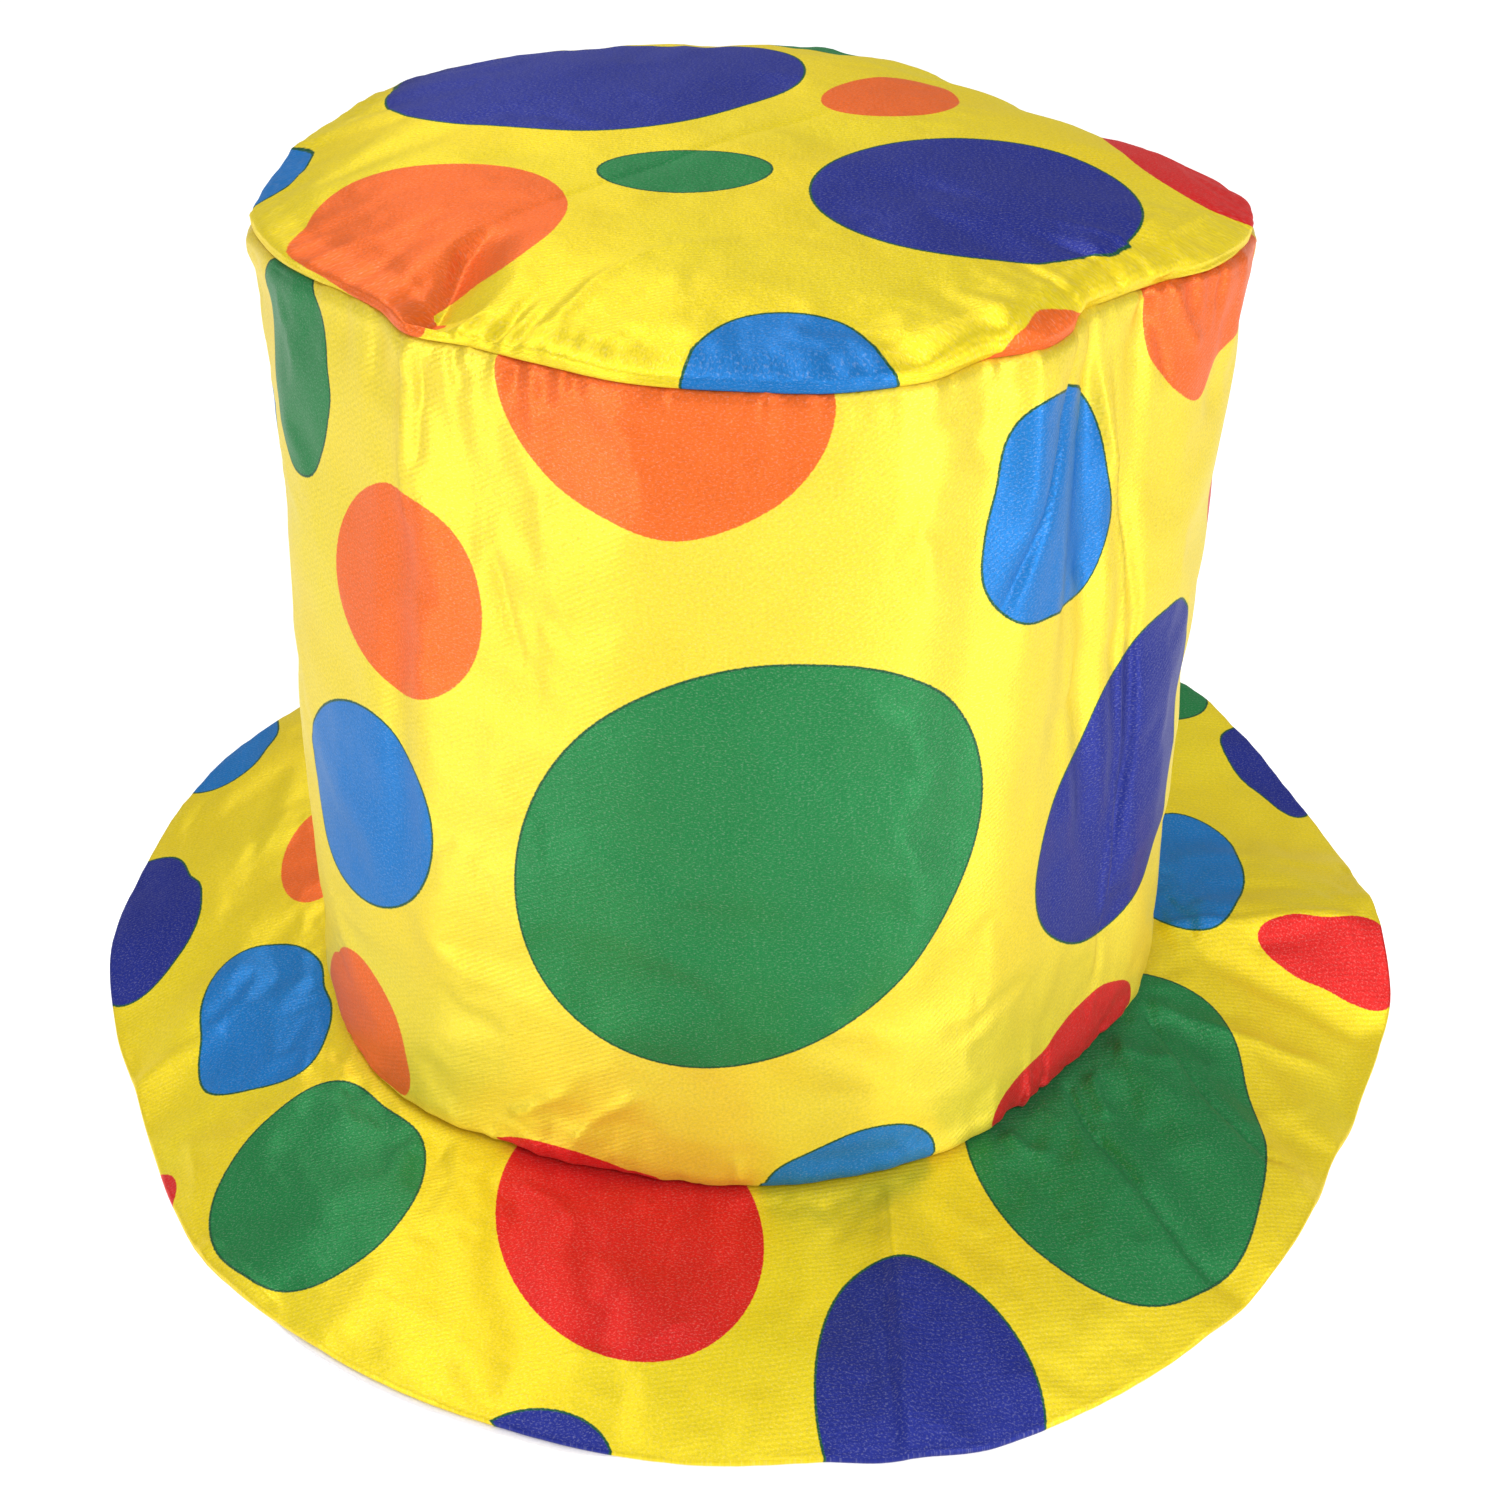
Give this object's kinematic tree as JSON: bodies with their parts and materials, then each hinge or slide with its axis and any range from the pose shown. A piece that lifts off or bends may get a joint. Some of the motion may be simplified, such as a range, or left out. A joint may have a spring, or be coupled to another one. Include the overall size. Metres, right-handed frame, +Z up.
{
  "type": "clown hat",
  "caption": "Soft tall clown top hat of padded yellow polka-dot satin, with a wide wavy brim and a pale brim underside.",
  "frame": {"origin": "centre of the head opening, on the plane that the hat rests on", "axes": "+Z up through the crown, -Y towards the hat's front, +X towards the right side as seen from the front"},
  "size_m": [0.3237, 0.3273, 0.219],
  "materials": {
    "crown_satin": "yellow foam-backed satin with large printed dots in blue, navy, green, orange and red",
    "tip_satin": "yellow foam-backed satin with large printed dots, padded",
    "brim_satin": "yellow foam-backed satin with large printed dots, stitched along its edge",
    "lining": "matt white brushed knit"
  },
  "bodies": {
    "root": {"crown_side": "crown_satin", "crown_tip": "tip_satin", "brim": "brim_satin", "brim_lining": "lining"}
  },
  "joints": []
}
